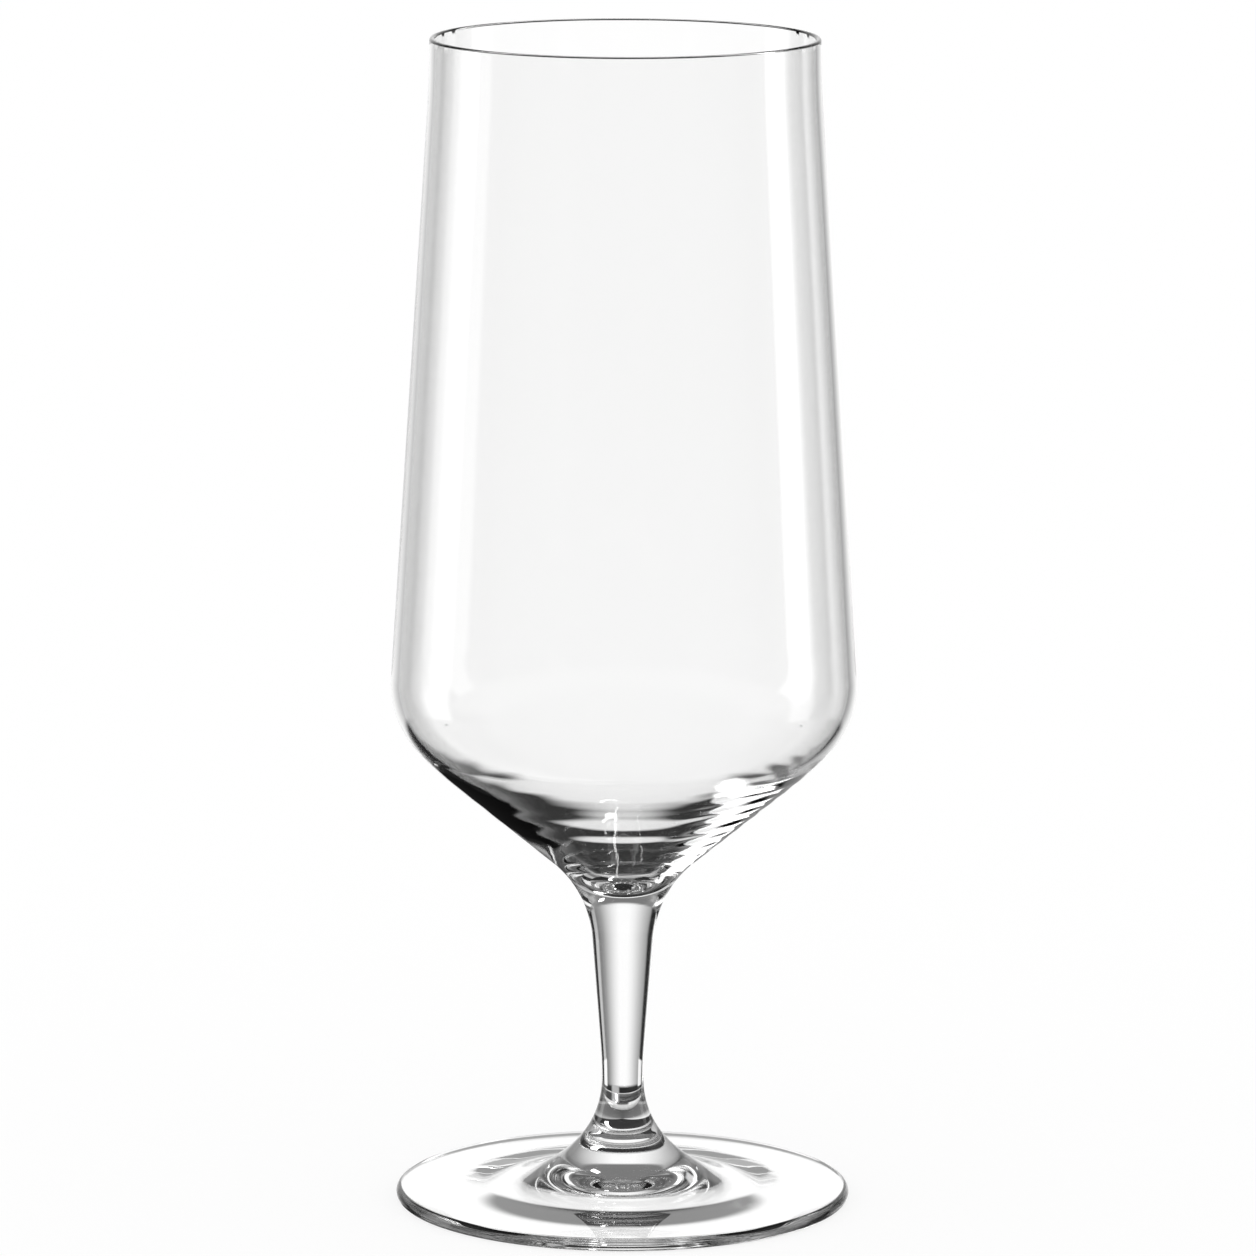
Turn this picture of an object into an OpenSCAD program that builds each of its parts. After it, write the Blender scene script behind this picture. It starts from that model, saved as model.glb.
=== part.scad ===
// Stemmed pilsner glass: a blown bowl, a solid drawn stem and a pressed foot, joined face to face at two seams.
// Every piece is turned about the Z axis. The origin is the centre of the circle that the glass stands on.

/* [Overall] */
// Height from the table to the top of the rim
height = 190; // [175:1:210]

/* [Bowl outside] */
// Outside diameter of the rim
rim_d = 62.6; // [56:0.2:68]
// Height of the lip, the stretch below the rim where the wall straightens up
lip_h = 12; // [4:0.5:20]
// Largest outside diameter of the bowl
bowl_d = 75.4; // [70:0.2:80]
// Height of the bowl's widest point above the table
shoulder_z = 85.4; // [80:0.2:95]
// Radius of the shoulder below the straight wall
shoulder_r = 15.7; // [10:0.1:18]
// Share of the turn from the widest point to the cone that the shoulder takes
shoulder_turn_share = 0.86; // [0.6:0.01:0.95]
// Radius of the nearly straight stretch below the shoulder
belly_r = 68.6; // [50:0.2:90]
// Angle of the cone under the bowl, measured from the table
cone_angle = 39.5; // [36:0.1:42]
// Radius of the hollow neck between the cone and the stem
neck_r = 18.3; // [14:0.1:20]

/* [Bowl inside] */
// Thickness of the glass at the rim
rim_wall = 0.9; // [0.7:0.05:1.5]
// Thickness of the glass at the shoulder
shoulder_wall = 1.25; // [1:0.05:2]
// Radius of the nearly straight stretch below the shoulder, inside
inner_belly_r = 49.2; // [40:0.2:70]
// Angle of the cone inside the bowl, measured from the table
inner_cone_angle = 37.4; // [35:0.1:39]
// Radius of the dished floor of the bowl
dish_r = 8; // [5:0.5:20]
// Angle of the dished floor at its edge, measured from the table
dish_turn = 34; // [8:0.5:35]
// Radius of the curve between the dished floor and the cone
ring_r = 2.7; // [1:0.1:5]

/* [Stem] */
// Smallest diameter of the stem, at its waist
waist_d = 6.8; // [6:0.1:10]
// Height of the waist above the table
waist_z = 19.7; // [19:0.1:24]
// Radius that leads from the waist into the tapered part of the stem
waist_r = 73; // [40:1:120]
// Angle between the stem's side and its axis
stem_taper = 4.6; // [3:0.1:6]
// Radius of the flare from the waist down to the foot
flare_r = 15.2; // [13:0.1:16]
// Angle through which the flare turns from the waist to the ring on the foot
flare_turn = 41.5; // [35:0.5:43]
// Angle left between the stem's side and the vertical at the seam below the bowl
neck_seam_angle = 26; // [20:0.5:32]

/* [Foot] */
// Diameter of the foot
foot_d = 74; // [66:0.5:80]
// Thickness of the foot's rounded edge
edge_t = 2.1; // [1.6:0.1:3]
// Radius of the sweep from the collar out to the disc
sweep_r = 21.5; // [14:0.5:22]
// Width of the flat ring that the glass stands on
stand_w = 1.2; // [0.8:0.1:4]
// Width of the ring inside it, where the underside runs along with the top of the disc
bevel_w = 4; // [2:0.5:8]
// Radius of the curve that leads from that ring up into the hollow
hollow_edge_r = 80; // [50:1:120]
// Distance from the axis at which that curve turns over into the top of the hollow
hollow_top_r = 14; // [10:0.5:20]

/* [Hidden] */

// Steps for a full turn about the axis, and how far an arc may stand off its chords
$fn = 180;
arc_error = 0.005;
curve_steps = 6;
glass_colour = [0.86, 0.90, 0.91, 0.35];

// Points of an arc from one angle to another, in degrees, with both ends
function arc_points(centre, radius, from, to) =
    let (step = 2 * acos(1 - arc_error / radius), steps = max(1, ceil(abs(to - from) / step)))
    [for (i = [0 : steps]) on_circle(centre, radius, from + (to - from) * i / steps)];
function direction(angle) = [cos(angle), sin(angle)];
function on_circle(centre, radius, angle) = centre + radius * direction(angle);

// Points of a curve between two points that heads for a third one at both ends
function curve_points(start, towards, end) =
    [for (i = [0 : curve_steps])
        let (t = i / curve_steps)
        (1 - t) ^ 2 * start + 2 * t * (1 - t) * towards + t ^ 2 * end];

// Angle, seen from the first circle, of the point where a line that crosses between two circles leaves it
function crossing_angle(centre_a, radius_a, centre_b, radius_b, side) =
    let (gap = centre_b - centre_a)
    atan2(gap.y, gap.x) + side * acos((radius_a + radius_b) / norm(gap));

// Where two lines meet, each given by a point and an angle
function lines_meet(point_a, angle_a, point_b, angle_b) =
    let (a = direction(angle_a), b = direction(angle_b), gap = point_b - point_a)
    point_a + a * cross(gap, b) / cross(a, b);

// Rim: the wall stands upright where it meets the round top of the rim
rim_r = rim_d / 2;
rim_round_r = rim_wall / 2;
rim_z = height - rim_round_r;
rim_centre = [rim_r - rim_round_r, rim_z];
lip_aim = [rim_r, rim_z - lip_h / 2];
inner_lip_aim = lip_aim - [rim_wall, 0];

// Shoulder and belly: two arcs that meet without a corner
shoulder_centre = [bowl_d / 2 - shoulder_r, shoulder_z];
cone_normal = cone_angle - 90;
belly_angle = cone_normal * shoulder_turn_share;
belly_centre = on_circle(shoulder_centre, shoulder_r - belly_r, belly_angle);
cone_top = on_circle(belly_centre, belly_r, cone_normal);
wall_angle = crossing_angle(shoulder_centre, shoulder_r, lip_aim, 0, -1);
lip_bottom = lip_aim + lip_h / 2 * direction(wall_angle - 90);

// Inside of the bowl: the shoulder nearer the axis by the thickness of the glass, then a flatter cone and its dished floor
inner_shoulder_r = shoulder_r - shoulder_wall;
inner_wall_angle = crossing_angle(shoulder_centre, inner_shoulder_r, inner_lip_aim, 0, -1);
inner_lip_bottom = inner_lip_aim + lip_h / 2 * direction(inner_wall_angle - 90);
inner_cone_normal = inner_cone_angle - 90;
inner_belly_centre = on_circle(shoulder_centre, inner_shoulder_r - inner_belly_r, belly_angle);
inner_cone_top = on_circle(inner_belly_centre, inner_belly_r, inner_cone_normal);
dish_edge_angle = dish_turn - 90;
ring_reach = (dish_r - ring_r) * direction(dish_edge_angle);
ring_centre = lines_meet(
    inner_cone_top - ring_r * direction(inner_cone_normal), inner_cone_angle,
    [ring_reach.x, 0], 90
);
dish_centre = ring_centre - ring_reach;

// Stem: the waist, its taper, and the neck that joins the taper to the cone
waist_point = [waist_d / 2, waist_z];
waist_centre = waist_point + [waist_r, 0];
taper_normal = 180 - stem_taper;
taper_bottom = on_circle(waist_centre, waist_r, taper_normal);
neck_centre = lines_meet(
    taper_bottom - neck_r * direction(taper_normal), 90 - stem_taper,
    cone_top + neck_r * direction(cone_normal), cone_angle
);
neck_cone_angle = 180 + cone_normal;
neck_seam = on_circle(neck_centre, neck_r, 180 - neck_seam_angle);

// Foot: the flare ends at the collar, and the sweep carries on from it to the disc and its edge
flare_centre = waist_point + [flare_r, 0];
collar_angle = 180 + flare_turn;
collar = on_circle(flare_centre, flare_r, collar_angle);
sweep_centre = on_circle(flare_centre, flare_r - sweep_r, collar_angle);
edge_r = edge_t / 2;
edge_centre = [foot_d / 2 - edge_r, edge_r];
slope_angle = crossing_angle(edge_centre, edge_r, sweep_centre, sweep_r, -1);
stand_r = edge_centre.x - stand_w;
disc_slope = max(0, 90 - slope_angle);
bevel_top = [stand_r - bevel_w, bevel_w * tan(disc_slope)];
hollow_edge_centre = on_circle(bevel_top, hollow_edge_r, 90 - disc_slope);
hollow_turn = asin((hollow_edge_centre.x - hollow_top_r) / hollow_edge_r);
hollow_r = hollow_top_r / sin(hollow_turn);
hollow_centre = on_circle(hollow_edge_centre, hollow_edge_r + hollow_r, 270 - hollow_turn);

module turned(outline) {
    rotate_extrude()
        polygon(outline);
}

// Blown bowl, from the seam at the neck up the outside, over the rim and down the inside to its floor
module bowl() {
    color(glass_colour) turned(concat(
        [[0, neck_seam.y]],
        arc_points(neck_centre, neck_r, 180 - neck_seam_angle, neck_cone_angle),
        arc_points(belly_centre, belly_r, cone_normal, belly_angle),
        arc_points(shoulder_centre, shoulder_r, belly_angle, wall_angle),
        curve_points(lip_bottom, lip_aim, [rim_r, rim_z]),
        arc_points(rim_centre, rim_round_r, 0, 180),
        curve_points([rim_r - rim_wall, rim_z], inner_lip_aim, inner_lip_bottom),
        arc_points(shoulder_centre, inner_shoulder_r, inner_wall_angle, belly_angle),
        arc_points(inner_belly_centre, inner_belly_r, belly_angle, inner_cone_normal),
        arc_points(ring_centre, ring_r, inner_cone_normal, dish_edge_angle),
        arc_points(dish_centre, dish_r, dish_edge_angle, -90)
    ));
}

// Solid stem, from the ring on the foot up to the seam below the bowl
module stem() {
    color(glass_colour) turned(concat(
        [[0, collar.y]],
        arc_points(flare_centre, flare_r, collar_angle, 180),
        arc_points(waist_centre, waist_r, 180, taper_normal),
        arc_points(neck_centre, neck_r, taper_normal, 180 - neck_seam_angle),
        [[0, neck_seam.y]]
    ));
}

// Pressed foot, from the hollow underneath, round the edge and up the sweep to the collar
module foot() {
    color(glass_colour) turned(concat(
        arc_points(hollow_centre, hollow_r, 90, 90 - hollow_turn),
        arc_points(hollow_edge_centre, hollow_edge_r, 270 - hollow_turn, 270 - disc_slope),
        [[stand_r, 0]],
        arc_points(edge_centre, edge_r, -90, slope_angle),
        arc_points(sweep_centre, sweep_r, 180 + slope_angle, collar_angle),
        [[0, collar.y]]
    ));
}

bowl();
stem();
foot();
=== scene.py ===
import math

import bpy
from mathutils import Matrix, Vector


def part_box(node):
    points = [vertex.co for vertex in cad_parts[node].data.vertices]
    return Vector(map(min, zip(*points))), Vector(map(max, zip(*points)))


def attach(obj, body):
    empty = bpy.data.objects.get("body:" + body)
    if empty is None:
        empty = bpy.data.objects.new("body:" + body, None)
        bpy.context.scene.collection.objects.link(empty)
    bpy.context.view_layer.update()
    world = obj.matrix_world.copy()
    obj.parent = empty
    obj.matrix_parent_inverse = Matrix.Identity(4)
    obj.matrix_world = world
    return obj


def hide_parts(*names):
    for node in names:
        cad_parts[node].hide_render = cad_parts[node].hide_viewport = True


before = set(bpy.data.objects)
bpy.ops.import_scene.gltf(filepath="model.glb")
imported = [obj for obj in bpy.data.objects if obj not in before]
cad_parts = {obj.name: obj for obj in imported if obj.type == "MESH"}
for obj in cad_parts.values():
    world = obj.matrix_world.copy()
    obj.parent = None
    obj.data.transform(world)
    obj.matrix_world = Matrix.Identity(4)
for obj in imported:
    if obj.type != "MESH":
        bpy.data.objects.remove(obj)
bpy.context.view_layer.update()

# Sizes that the solids give, in millimetres
MM = 0.001
bowl_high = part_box("bowl")[1] / MM
foot_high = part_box("foot")[1] / MM
HEIGHT = bowl_high.z
BOWL_R = bowl_high.x
FOOT_R = foot_high.x

# Bowl, outside
RIM_R = 31.3
LIP_H = 12.0
SHOULDER_Z = 85.4
SHOULDER_R = 15.7
SHOULDER_TURN_SHARE = 0.86
BELLY_R = 68.6
CONE_ANGLE = 39.5
NECK_R = 18.3

# Bowl, inside
RIM_WALL = 0.9
SHOULDER_WALL = 1.25
INNER_BELLY_R = 49.2
INNER_CONE_ANGLE = 37.4
DISH_R = 8.0
DISH_TURN = 34.0
RING_R = 2.7

# Shallow rings round the cone: their height, their spacing, and the part of it at which they start
RIPPLE_H = 0.0135
RIPPLE_W = 5.3
RIPPLE_START_SHARE = 0.55

# Fine tool marks on one side of the cone: height, spacing, and how far and how often they lean round the axis
MARK_H = 0.026
MARK_W = 2.2
MARK_LEAN_SHARE = 0.4
MARK_LEANS = 3
# Degrees round the axis where they fade in and out, and how far above each end of the cone they do so
MARK_TURN = (-75, -50, 0, 25)
MARK_FADE_IN = (0.0, 4.0)
MARK_FADE_OUT = (2.0, 6.0)

# Stem
WAIST_STEM_R = 3.4
WAIST_Z = 19.7
WAIST_R = 73.0
STEM_TAPER = 4.6
FLARE_R = 15.2
FLARE_TURN = 41.5
NECK_SEAM_ANGLE = 26.0

# Foot
EDGE_T = 2.1
SWEEP_R = 21.5
STAND_W = 1.2
BEVEL_W = 4.0
HOLLOW_EDGE_R = 80.0
HOLLOW_TOP_R = 14.0

# Fineness of the turned meshes
TURN_STEPS = 288
ARC_ERROR = 0.0008
CURVE_STEPS = 16
CONE_SPACING = 0.1
SAME_POINT = 1e-7
ON_AXIS = 1e-6
SHARP_ANGLE = 35


def direction(angle):
    return Vector((math.cos(math.radians(angle)), math.sin(math.radians(angle))))


def on_circle(centre, radius, angle):
    return centre + radius * direction(angle)


def arc_points(centre, radius, start, end):
    """Points of an arc from one angle to another, in degrees, with both ends."""
    step = math.degrees(2 * math.acos(1 - ARC_ERROR / radius))
    steps = max(1, math.ceil(abs(end - start) / step))
    return [on_circle(centre, radius, start + (end - start) * i / steps) for i in range(steps + 1)]


def curve_points(start, towards, end):
    """Points of a curve between two points that heads for a third one at both ends."""
    shares = [i / CURVE_STEPS for i in range(CURVE_STEPS + 1)]
    return [(1 - t) ** 2 * start + 2 * t * (1 - t) * towards + t**2 * end for t in shares]


def line_points(start, end, spacing):
    """Points along a straight stretch, without its ends."""
    steps = math.ceil((end - start).length / spacing)
    return [start.lerp(end, i / steps) for i in range(1, steps)]


def crossing_angle(centre_a, radius_a, centre_b, radius_b):
    """Angle, seen from circle a, where a line that crosses between two circles leaves it."""
    gap = centre_b - centre_a
    return math.degrees(math.atan2(gap.y, gap.x) - math.acos((radius_a + radius_b) / gap.length))


def lines_meet(point_a, angle_a, point_b, angle_b):
    """Where two lines meet, each given by a point and an angle."""
    a, b, gap = direction(angle_a), direction(angle_b), point_b - point_a
    return point_a + a * (gap.cross(b) / a.cross(b))


# Rim and lip
rim_round_r = RIM_WALL / 2
rim_z = HEIGHT - rim_round_r
rim_centre = Vector((RIM_R - rim_round_r, rim_z))
lip_aim = Vector((RIM_R, rim_z - LIP_H / 2))
inner_lip_aim = lip_aim - Vector((RIM_WALL, 0))

# Shoulder, belly and cone
shoulder_centre = Vector((BOWL_R - SHOULDER_R, SHOULDER_Z))
cone_normal = CONE_ANGLE - 90
belly_angle = cone_normal * SHOULDER_TURN_SHARE
belly_centre = on_circle(shoulder_centre, SHOULDER_R - BELLY_R, belly_angle)
cone_top = on_circle(belly_centre, BELLY_R, cone_normal)
wall_angle = crossing_angle(shoulder_centre, SHOULDER_R, lip_aim, 0)
lip_bottom = lip_aim + LIP_H / 2 * direction(wall_angle - 90)

# Inside of the bowl
inner_shoulder_r = SHOULDER_R - SHOULDER_WALL
inner_wall_angle = crossing_angle(shoulder_centre, inner_shoulder_r, inner_lip_aim, 0)
inner_lip_bottom = inner_lip_aim + LIP_H / 2 * direction(inner_wall_angle - 90)
inner_cone_normal = INNER_CONE_ANGLE - 90
inner_belly_centre = on_circle(shoulder_centre, inner_shoulder_r - INNER_BELLY_R, belly_angle)
inner_cone_top = on_circle(inner_belly_centre, INNER_BELLY_R, inner_cone_normal)
dish_edge_angle = DISH_TURN - 90
ring_reach = (DISH_R - RING_R) * direction(dish_edge_angle)
ring_centre = lines_meet(
    inner_cone_top - RING_R * direction(inner_cone_normal),
    INNER_CONE_ANGLE,
    Vector((ring_reach.x, 0)),
    90,
)
dish_centre = ring_centre - ring_reach

# Stem and neck
waist_point = Vector((WAIST_STEM_R, WAIST_Z))
waist_centre = waist_point + Vector((WAIST_R, 0))
taper_normal = 180 - STEM_TAPER
taper_bottom = on_circle(waist_centre, WAIST_R, taper_normal)
neck_centre = lines_meet(
    taper_bottom - NECK_R * direction(taper_normal),
    90 - STEM_TAPER,
    cone_top + NECK_R * direction(cone_normal),
    CONE_ANGLE,
)
neck_seam_at = 180 - NECK_SEAM_ANGLE
neck_seam = on_circle(neck_centre, NECK_R, neck_seam_at)
neck_axis = Vector((0, neck_seam.y))
neck_cone_angle = 180 + cone_normal
neck_top = on_circle(neck_centre, NECK_R, neck_cone_angle)

# Foot
flare_centre = waist_point + Vector((FLARE_R, 0))
collar_angle = 180 + FLARE_TURN
collar = on_circle(flare_centre, FLARE_R, collar_angle)
collar_axis = Vector((0, collar.y))
sweep_centre = on_circle(flare_centre, FLARE_R - SWEEP_R, collar_angle)
edge_r = EDGE_T / 2
edge_centre = Vector((FOOT_R - edge_r, edge_r))
slope_angle = crossing_angle(edge_centre, edge_r, sweep_centre, SWEEP_R)
stand_r = edge_centre.x - STAND_W
disc_slope = 90 - slope_angle
bevel_top = Vector((stand_r - BEVEL_W, BEVEL_W * math.tan(math.radians(disc_slope))))
hollow_edge_centre = on_circle(bevel_top, HOLLOW_EDGE_R, 90 - disc_slope)
hollow_turn = math.degrees(math.asin((hollow_edge_centre.x - HOLLOW_TOP_R) / HOLLOW_EDGE_R))
hollow_r = HOLLOW_TOP_R / math.sin(math.radians(hollow_turn))
hollow_edge = on_circle(hollow_edge_centre, HOLLOW_EDGE_R, 270 - hollow_turn)
hollow_centre = on_circle(hollow_edge, -hollow_r, 90 - hollow_turn)


def soft_window(value, stops):
    """1 between the two middle stops, fading out to 0 at the outer ones."""
    up = min(max((value - stops[0]) / (stops[1] - stops[0]), 0), 1)
    down = min(max((stops[3] - value) / (stops[3] - stops[2]), 0), 1)
    return up * up * (3 - 2 * up) * down * down * (3 - 2 * down)


def outward(before, after):
    """Direction out of the glass, square to the way from one point of the outline to another."""
    tangent = (after - before).normalized()
    return Vector((tangent.y, -tangent.x))


def rippled(points):
    """The stretch with shallow rings worked into it, which fade out at both ends."""
    total = sum((b - a).length for a, b in zip(points, points[1:]))
    last = len(points) - 1
    moved, along = [], 0
    for i, p in enumerate(points):
        along += (p - points[i - 1]).length if i else 0
        fade = math.sin(math.pi * along / total)
        wave = math.cos(2 * math.pi * (along / RIPPLE_W + RIPPLE_START_SHARE))
        moved.append(p + outward(points[max(i - 1, 0)], points[min(i + 1, last)]) * (RIPPLE_H * fade * wave))
    return moved


def mark_height(p, turn):
    """Height of the fine tool marks on one side of the cone."""
    degrees = (math.degrees(turn) + 180) % 360 - 180
    heights = [neck_top.y + rise for rise in MARK_FADE_IN] + [cone_top.y + rise for rise in MARK_FADE_OUT]
    share = soft_window(degrees, MARK_TURN) * soft_window(p.y, heights)
    lean = MARK_LEAN_SHARE * math.sin(MARK_LEANS * turn)
    return MARK_H * share * math.cos(2 * math.pi * (p.y / MARK_W + lean))


def joined(stretches):
    """One outline of (point, material, marked), without the points that two stretches share."""
    outline = []
    for points, material, marked in stretches:
        for p in points:
            if not outline or (p - outline[-1][0]).length > SAME_POINT:
                outline.append((p, material, marked))
    return outline


def faces_between(low, high):
    """Faces between two rings of vertices, where a ring on the axis is a single vertex."""
    faces = []
    for k in range(TURN_STEPS):
        n = (k + 1) % TURN_STEPS
        if len(low) == 1:
            faces.append((low[0], high[n], high[k]))
        elif len(high) == 1:
            faces.append((low[k], low[n], high[0]))
        else:
            faces.append((low[k], low[n], high[n], high[k]))
    return faces


def turned(name, stretches, materials):
    """A closed piece turned about Z. Its stretches of (points, material, marked) run from axis to axis."""
    outline = joined(stretches)
    verts, faces, kinds, rings = [], [], [], []
    for i, (p, _, marked) in enumerate(outline):
        if p.x < ON_AXIS:
            rings.append([len(verts)])
            verts.append((0, 0, p.y * MM))
            continue
        rings.append(range(len(verts), len(verts) + TURN_STEPS))
        normal = outward(outline[i - 1][0], outline[i + 1][0]) if marked else None
        for k in range(TURN_STEPS):
            turn = 2 * math.pi * k / TURN_STEPS
            at = p + normal * mark_height(p, turn) if marked else p
            verts.append((at.x * MM * math.cos(turn), at.x * MM * math.sin(turn), at.y * MM))
    for low, high, (_, material, _) in zip(rings, rings[1:], outline[1:]):
        faces += faces_between(low, high)
        kinds += [material] * TURN_STEPS
    mesh = bpy.data.meshes.new(name)
    mesh.from_pydata(verts, [], faces)
    for material in materials:
        mesh.materials.append(material)
    mesh.polygons.foreach_set("material_index", kinds)
    mesh.polygons.foreach_set("use_smooth", [True] * len(faces))
    mesh.set_sharp_from_angle(angle=math.radians(SHARP_ANGLE))
    mesh.update()
    piece = bpy.data.objects.new(name, mesh)
    bpy.context.scene.collection.objects.link(piece)
    return piece


# Glass: how much it bends light, and the faint unevenness of its colour and surface, with the bump in metres
GLASS_IOR = 1.5
UNEVEN_SCALE = 45
UNEVEN_DETAIL = 2
UNEVEN_COLOURS = ((0.994, 0.994, 0.992, 1), (1, 1, 1, 1))
BUMP_STRENGTH = 0.3
BUMP_DISTANCE = 0.00001


def glass_material():
    """Clear glass with a faint unevenness of colour and surface from the working of it."""
    material = bpy.data.materials.new("clear_glass")
    material.use_nodes = True
    nodes, links = material.node_tree.nodes, material.node_tree.links
    shader = nodes["Principled BSDF"]
    shader.inputs["Roughness"].default_value = 0
    shader.inputs["IOR"].default_value = GLASS_IOR
    shader.inputs["Transmission Weight"].default_value = 1
    place = nodes.new("ShaderNodeTexCoord")
    cords = nodes.new("ShaderNodeTexNoise")
    cords.inputs["Scale"].default_value = UNEVEN_SCALE
    cords.inputs["Detail"].default_value = UNEVEN_DETAIL
    links.new(place.outputs["Object"], cords.inputs["Vector"])
    tint = nodes.new("ShaderNodeValToRGB")
    for element, colour in zip(tint.color_ramp.elements, UNEVEN_COLOURS):
        element.color = colour
    links.new(cords.outputs["Fac"], tint.inputs["Fac"])
    links.new(tint.outputs["Color"], shader.inputs["Base Color"])
    bump = nodes.new("ShaderNodeBump")
    bump.inputs["Strength"].default_value = BUMP_STRENGTH
    bump.inputs["Distance"].default_value = BUMP_DISTANCE
    links.new(cords.outputs["Fac"], bump.inputs["Height"])
    links.new(bump.outputs["Normal"], shader.inputs["Normal"])
    return material


def seam_material():
    """The welded face inside the glass, which light passes without bending."""
    material = bpy.data.materials.new("welded_seam")
    material.use_nodes = True
    nodes = material.node_tree.nodes
    nodes.clear()
    clear = nodes.new("ShaderNodeBsdfTransparent")
    output = nodes.new("ShaderNodeOutputMaterial")
    material.node_tree.links.new(clear.outputs[0], output.inputs["Surface"])
    return material


# The three pieces, each from stretches of (points, material, marked)
GLASS, SEAM = 0, 1
materials = [glass_material(), seam_material()]
cone_line = [neck_top] + line_points(neck_top, cone_top, CONE_SPACING)
cone_stretch = cone_line + arc_points(belly_centre, BELLY_R, cone_normal, belly_angle)
bowl_outline = [
    ([neck_axis], SEAM, False),
    ([neck_seam], SEAM, False),
    (arc_points(neck_centre, NECK_R, neck_seam_at, neck_cone_angle), GLASS, False),
    (rippled(cone_stretch), GLASS, True),
    (arc_points(shoulder_centre, SHOULDER_R, belly_angle, wall_angle), GLASS, False),
    (curve_points(lip_bottom, lip_aim, Vector((RIM_R, rim_z))), GLASS, False),
    (arc_points(rim_centre, rim_round_r, 0, 180), GLASS, False),
    (curve_points(Vector((RIM_R - RIM_WALL, rim_z)), inner_lip_aim, inner_lip_bottom), GLASS, False),
    (arc_points(shoulder_centre, inner_shoulder_r, inner_wall_angle, belly_angle), GLASS, False),
    (arc_points(inner_belly_centre, INNER_BELLY_R, belly_angle, inner_cone_normal), GLASS, False),
    (arc_points(ring_centre, RING_R, inner_cone_normal, dish_edge_angle), GLASS, False),
    (arc_points(dish_centre, DISH_R, dish_edge_angle, -90), GLASS, False),
]
stem_outline = [
    ([collar_axis], SEAM, False),
    ([collar], SEAM, False),
    (arc_points(flare_centre, FLARE_R, collar_angle, 180), GLASS, False),
    (arc_points(waist_centre, WAIST_R, 180, taper_normal), GLASS, False),
    (arc_points(neck_centre, NECK_R, taper_normal, neck_seam_at), GLASS, False),
    ([neck_axis], SEAM, False),
]
foot_outline = [
    (arc_points(hollow_centre, hollow_r, 90, 90 - hollow_turn), GLASS, False),
    (arc_points(hollow_edge_centre, HOLLOW_EDGE_R, 270 - hollow_turn, 270 - disc_slope), GLASS, False),
    ([Vector((stand_r, 0))], GLASS, False),
    (arc_points(edge_centre, edge_r, -90, slope_angle), GLASS, False),
    (arc_points(sweep_centre, SWEEP_R, 180 + slope_angle, collar_angle), GLASS, False),
    ([collar_axis], SEAM, False),
]
for name, outline in (("bowl", bowl_outline), ("stem", stem_outline), ("foot", foot_outline)):
    piece = turned(name + "_glass", outline, materials)
    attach(piece, "root")
    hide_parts(name)

# Camera: its place in metres, its tilt in degrees and its lens, all from the ellipses of the rim and the foot
IMAGE_W = 1256
FOCAL_PX = 7768
SENSOR_W = 36
CAMERA_DISTANCE = 1.2359
CAMERA_HEIGHT = 0.31396
CAMERA_PITCH = 10.077
CAMERA_YAW = 0.0308
CAMERA_ROLL = 0.157


def make_camera():
    data = bpy.data.cameras.new("camera")
    data.sensor_width = SENSOR_W
    data.lens = FOCAL_PX * SENSOR_W / IMAGE_W
    camera = bpy.data.objects.new("camera", data)
    turn = Matrix.Rotation(math.radians(-CAMERA_YAW), 4, "Z")
    tilt = Matrix.Rotation(math.radians(90 - CAMERA_PITCH), 4, "X")
    roll = Matrix.Rotation(math.radians(CAMERA_ROLL), 4, "Z")
    place = Matrix.Translation((0, -CAMERA_DISTANCE, CAMERA_HEIGHT))
    camera.matrix_world = place @ turn @ tilt @ roll
    bpy.context.scene.collection.objects.link(camera)
    bpy.context.scene.camera = camera


# Floor: half its width and how far it lies below the foot, in metres, and the share of it that takes shadows
FLOOR_REACH = 30
FLOOR_DROP = 0.00005
FLOOR_SHADE_SHARE = 0.2

# Studio, which only light that has met the glass sees. Lists of (bearing, brightness) go once round the room.
# Bearing 0 is behind the glass and 90 is +X. Heights are degrees above level, and depths degrees below it.
# A window of four numbers fades in over the first two and out over the last two.
WHITE = 1.0
BRIGHTEST = 2.0
BACKDROP = [
    (-180, 0.1), (-100, 0.1), (-84, 0.3), (-82, 1.9), (-70, 1.8), (-63, 1.0), (-57, 0.02), (-42, 0.02),
    (-37, 0.35), (-24, 0.63), (-12, 0.97), (-6, 1.07), (5, 1.07), (12, 0.88), (20, 0.61), (28, 0.34),
    (38, 0.17), (42, 0.5), (50, 0.6), (53, 0.02), (70, 0.02), (74, 1.2), (88, 1.2), (90, 0.3),
    (100, 0.1), (180, 0.1),
]
# Light above and below the backdrop, and the heights at which each of them gives way to the next
HIGH_LIGHT = [
    (-180, 0.3), (-100, 0.4), (-70, 0.5), (-50, 0.2), (50, 0.2), (70, 0.5), (100, 0.4), (180, 0.3),
]
DEEP_LIGHT = [
    (-180, 0.1), (-100, 0.2), (-66, 1.0), (-60, 0.02), (60, 0.02), (70, 0.5), (100, 0.2), (180, 0.1),
]
CEILING = 0.2
BACKDROP_LOW = (-20, -17)
BACKDROP_HIGH = (21, 26)
CEILING_FROM = (45, 55)
# A soft light below the backdrop
SHEEN = 0.5
SHEEN_BEARING = (5, 9, 20, 26)
SHEEN_DEPTH = (14, 18, 30, 34)
# A long lamp, low behind the glass, as shares of its depth, and a small spot, both only in mirrored light
LAMP = 6.0
LAMP_ACROSS_SHARES = (0.34, 0.36, 0.44, 0.48)
LAMP_ALONG_SHARES = (0.42, 0.5, 1.8, 2.1)
SPOT_BEARING = (21, 23, 29, 31)
SPOT_HEIGHT = (31, 33, 38, 40)
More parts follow.
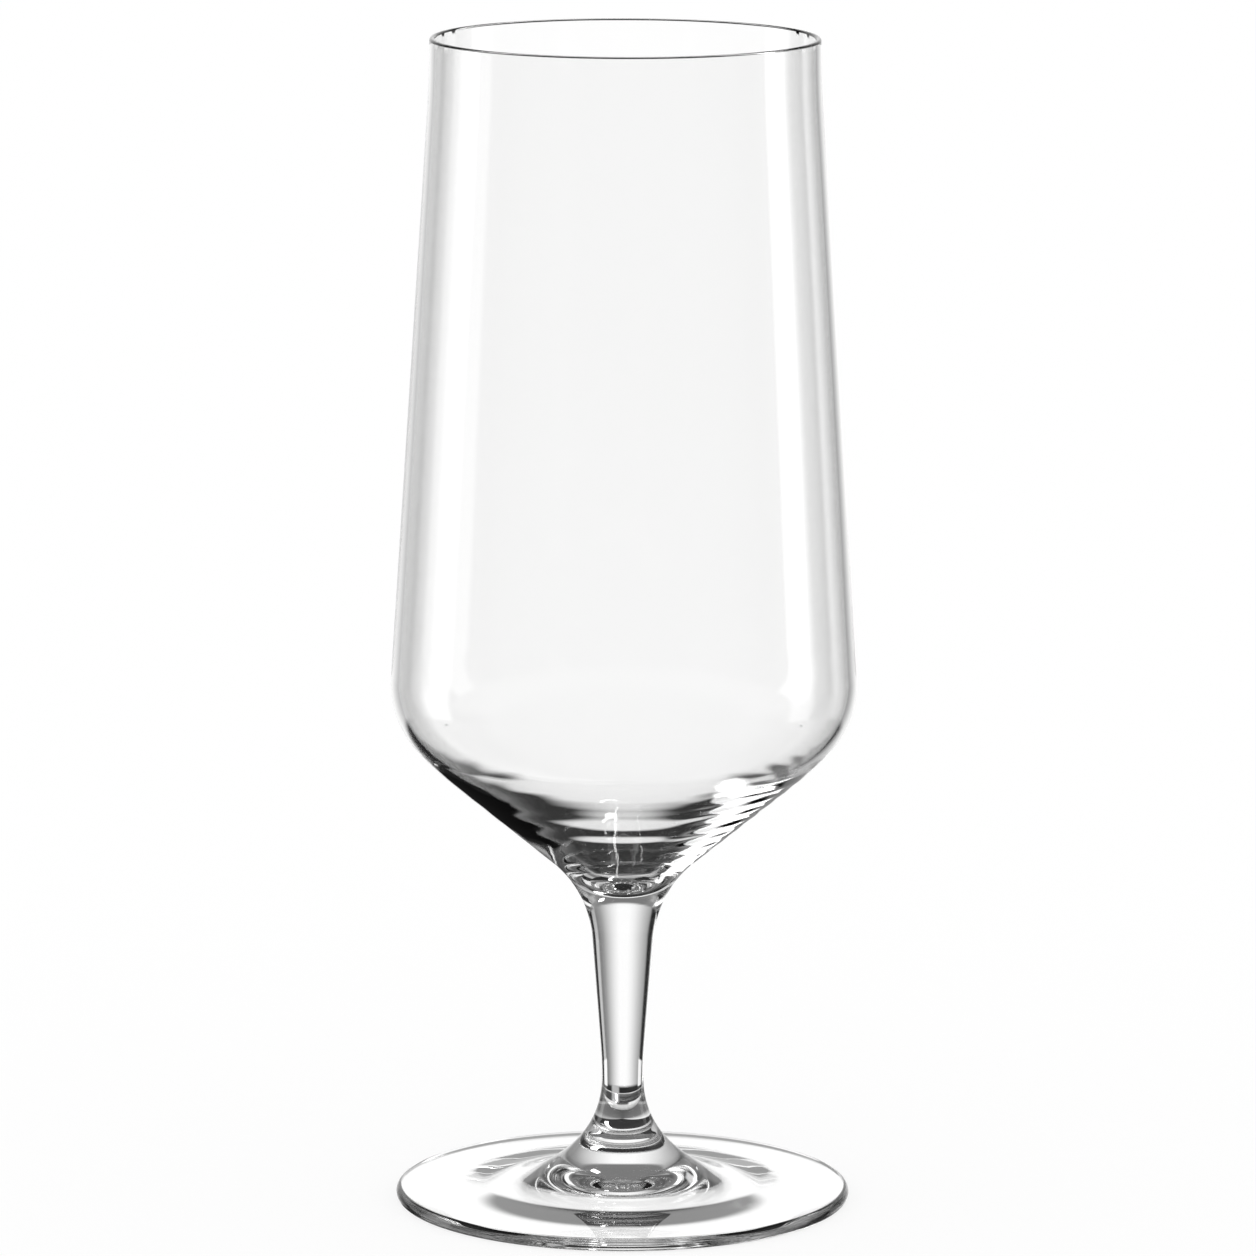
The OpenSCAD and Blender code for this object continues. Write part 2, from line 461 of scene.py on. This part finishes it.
# Where the studio opens to white for light that hasn't been mirrored: (bearing, how open) and a depth window
OPEN_SIDES = [
    (
        [(-180, 1), (-88, 1), (-84, 0), (86, 0), (89, 1), (180, 1)],
        (-30, -25, 22, 24),
    ),
    (
        [(-180, 0), (-54, 0), (-52, 1), (-38, 1), (-36, 0), (36, 0), (38, 1), (52, 1), (54, 0), (180, 0)],
        (9.5, 10, 20, 21),
    ),
    (
        [(-180, 1), (-14, 1), (-10, 0), (10, 0), (14, 1), (180, 1)],
        (30, 32, 48, 50),
    ),
    (
        [(-180, 0), (-62, 0), (-58, 0.7), (58, 0.7), (62, 0), (180, 0)],
        (41, 44, 88, 90),
    ),
]

# Bounces of light that solid glass needs
BOUNCES = 32
MIRRORED_BOUNCES = 16


def sines(angles):
    return [math.sin(math.radians(angle)) for angle in angles]


def grey(level):
    return (level, level, level, 1)


class Graph:
    """Shader nodes made and joined one after the other."""

    def __init__(self, tree):
        self.nodes, self.links = tree.nodes, tree.links
        self.nodes.clear()

    def node(self, kind, *inputs, **settings):
        node = self.nodes.new(kind)
        for name, value in settings.items():
            setattr(node, name, value)
        for socket, value in zip(node.inputs, inputs):
            if isinstance(value, bpy.types.NodeSocket):
                self.links.new(value, socket)
            elif value is not None:
                socket.default_value = value
        return node

    def math(self, operation, *values):
        return self.node("ShaderNodeMath", *values, operation=operation).outputs[0]

    def product(self, first, *others):
        for other in others:
            first = self.math("MULTIPLY", first, other)
        return first

    def step(self, value, start, end):
        """0 below the start, 1 above the end and a soft step between them."""
        node = self.node("ShaderNodeMapRange", value, start, end, interpolation_type="SMOOTHSTEP")
        return node.outputs[0]

    def window(self, value, stops):
        """1 between the two middle stops, fading out to 0 at the outer ones."""
        return self.product(self.step(value, *stops[:2]), self.step(value, *stops[:1:-1]))

    def mix(self, share, first, second):
        return self.node("ShaderNodeMix", share, None, first, second).outputs[0]

    def compass(self, bearing, stops):
        """Value at a bearing, which is in radians, from a list of (bearing in degrees, value)."""
        share = self.math("MULTIPLY_ADD", bearing, 0.5 / math.pi, 0.5)
        ramp = self.node("ShaderNodeValToRGB", share)
        elements = ramp.color_ramp.elements
        for degrees, value in stops:
            first_or_last = {-180: elements[0], 180: elements[-1]}
            element = first_or_last.get(degrees) or elements.new(degrees / 360 + 0.5)
            element.color = grey(value / BRIGHTEST)
        return self.math("MULTIPLY", ramp.outputs["Color"], BRIGHTEST)

    def in_glass(self):
        """1 for light that has met the glass on its way to the camera."""
        path = self.node("ShaderNodeLightPath").outputs
        return self.math("MAXIMUM", path["Is Glossy Ray"], path["Is Transmission Ray"])


def make_floor():
    """A pale floor that keeps a faint shadow, and that the glass doesn't show."""
    mesh = bpy.data.meshes.new("floor")
    corners = [(-1, -1), (1, -1), (1, 1), (-1, 1)]
    verts = [(x * FLOOR_REACH, y * FLOOR_REACH, -FLOOR_DROP) for x, y in corners]
    mesh.from_pydata(verts, [], [(0, 1, 2, 3)])
    floor = bpy.data.objects.new("floor", mesh)
    bpy.context.scene.collection.objects.link(floor)
    material = bpy.data.materials.new("floor")
    material.use_nodes = True
    graph = Graph(material.node_tree)
    clear = graph.node("ShaderNodeBsdfTransparent").outputs[0]
    glow = graph.node("ShaderNodeEmission", grey(WHITE), 1 - FLOOR_SHADE_SHARE).outputs[0]
    shaded = graph.node("ShaderNodeBsdfDiffuse", grey(FLOOR_SHADE_SHARE)).outputs[0]
    pale = graph.node("ShaderNodeAddShader", glow, shaded).outputs[0]
    shown = graph.node("ShaderNodeMixShader", graph.in_glass(), pale, clear).outputs[0]
    graph.node("ShaderNodeOutputMaterial", shown)
    mesh.materials.append(material)


def make_world():
    """White to the camera, and the studio to light that has met the glass."""
    world = bpy.data.worlds.new("studio")
    world.use_nodes = True
    graph = Graph(world.node_tree)
    towards = graph.node("ShaderNodeTexCoord").outputs["Generated"]
    x, y, z = graph.node("ShaderNodeSeparateXYZ", towards).outputs
    depth = graph.math("MULTIPLY", z, -1)
    bearing = graph.math("ARCTAN2", x, y)
    path = graph.node("ShaderNodeLightPath").outputs
    mirrored = path["Is Glossy Ray"]
    never_mirrored = graph.math("LESS_THAN", path["Glossy Depth"], 1)

    backdrop = graph.compass(bearing, BACKDROP)
    high = graph.compass(bearing, HIGH_LIGHT)
    shown = graph.mix(graph.step(z, *sines(BACKDROP_LOW)), graph.compass(bearing, DEEP_LIGHT), backdrop)
    shown = graph.mix(graph.step(z, *sines(BACKDROP_HIGH)), shown, high)
    shown = graph.mix(graph.step(z, *sines(CEILING_FROM)), shown, CEILING)

    sheen_bearing = graph.window(bearing, [math.radians(angle) for angle in SHEEN_BEARING])
    sheen_depth = graph.window(depth, sines(SHEEN_DEPTH))
    shown = graph.math("MAXIMUM", shown, graph.product(sheen_bearing, sheen_depth, SHEEN))

    across = graph.window(graph.math("DIVIDE", x, depth), LAMP_ACROSS_SHARES)
    along = graph.window(graph.math("DIVIDE", y, depth), LAMP_ALONG_SHARES)
    below = graph.math("LESS_THAN", z, 0)
    shown = graph.mix(graph.product(across, along, below, mirrored), shown, LAMP)

    spot_bearing = graph.window(bearing, [math.radians(angle) for angle in SPOT_BEARING])
    spot_height = graph.window(z, sines(SPOT_HEIGHT))
    shown = graph.mix(graph.product(spot_bearing, spot_height, mirrored), shown, LAMP)

    for bearings, depths in OPEN_SIDES:
        level = graph.window(depth, sines(depths))
        open_side = graph.product(never_mirrored, level, graph.compass(bearing, bearings))
        shown = graph.mix(open_side, shown, WHITE)

    strength = graph.mix(graph.in_glass(), WHITE, shown)
    glow = graph.node("ShaderNodeBackground", grey(WHITE), strength)
    graph.node("ShaderNodeOutputWorld", glow.outputs[0])
    bpy.context.scene.world = world


make_camera()
make_floor()
make_world()

scene = bpy.context.scene
scene.view_settings.view_transform = "Standard"
scene.cycles.max_bounces = BOUNCES
scene.cycles.transmission_bounces = BOUNCES
scene.cycles.glossy_bounces = MIRRORED_BOUNCES
scene.cycles.transparent_max_bounces = BOUNCES
